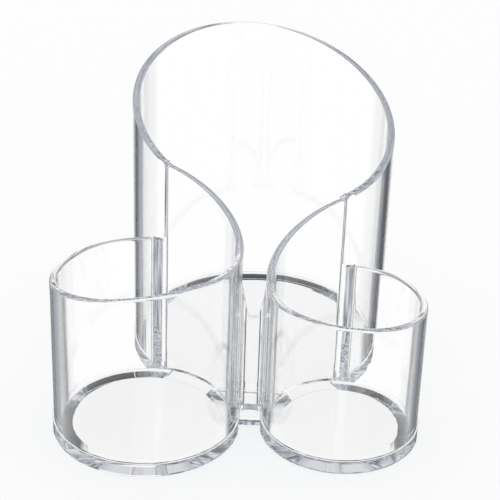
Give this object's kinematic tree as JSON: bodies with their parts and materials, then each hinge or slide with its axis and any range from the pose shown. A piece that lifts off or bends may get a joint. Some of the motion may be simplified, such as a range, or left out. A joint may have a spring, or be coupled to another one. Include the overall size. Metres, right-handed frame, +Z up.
{
  "type": "brush holder",
  "caption": "Clear free-standing brush holder: a tall rear well with a slanted rim that flows down into a larger and a smaller front cup.",
  "frame": {"origin": "centre of the footprint's bounding box, on the surface the holder stands on", "axes": "+Z up, +Y from the two front cups towards the tall rear well, +X from the larger cup towards the smaller one"},
  "size_m": [0.1308, 0.1473, 0.1146],
  "materials": {
    "clear_body": "clear, colourless and polished"
  },
  "bodies": {
    "root": {"base_plate": "clear_body", "left_cup_wall": "clear_body", "right_cup_wall": "clear_body", "rear_wall": "clear_body", "front_web": "clear_body", "left_joint": "clear_body", "right_joint": "clear_body"}
  },
  "joints": []
}
